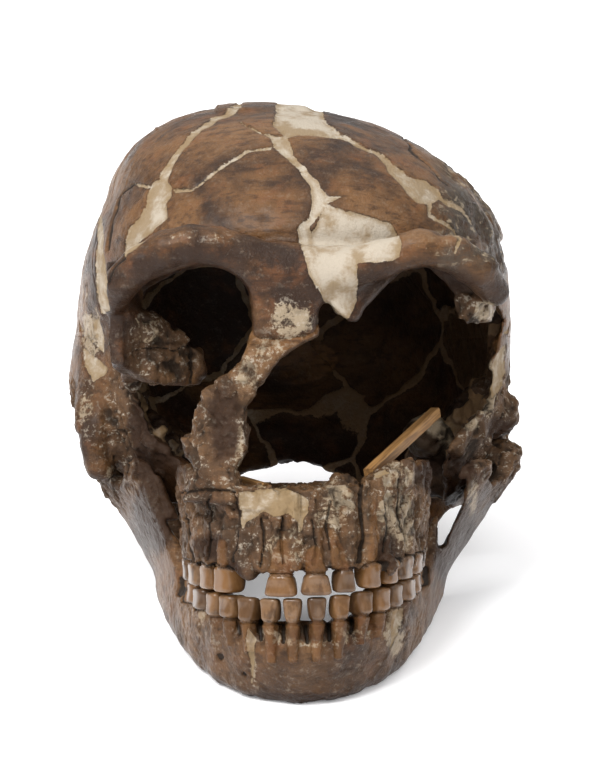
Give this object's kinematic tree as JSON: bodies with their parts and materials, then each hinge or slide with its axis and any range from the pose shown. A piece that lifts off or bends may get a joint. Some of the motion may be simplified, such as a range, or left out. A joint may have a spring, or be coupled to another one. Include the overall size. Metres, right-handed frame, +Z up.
{
  "type": "fossil skull with restored gaps",
  "caption": "Life-size fossil human skull with a heavy brow ridge, low long braincase, broken face, teeth and jaw.",
  "frame": {"origin": "middle of the foot of the bounding box, on the table top", "axes": "+Z up, the face towards -Y, +X to the skull's left"},
  "size_m": [0.1452, 0.2125, 0.157],
  "materials": {
    "fossil_bone": "worn satin bone",
    "old_wood": "plain planed wood"
  },
  "bodies": {
    "root": {"frontal_bone": "fossil_bone", "parietal_right": "fossil_bone", "parietal_left": "fossil_bone", "occipital_bone": "fossil_bone", "temporal_right": "fossil_bone", "temporal_left": "fossil_bone", "maxilla_right": "fossil_bone", "maxilla_left": "fossil_bone", "mandible": "fossil_bone", "wooden_strut": "old_wood", "wooden_peg": "old_wood"}
  },
  "joints": []
}
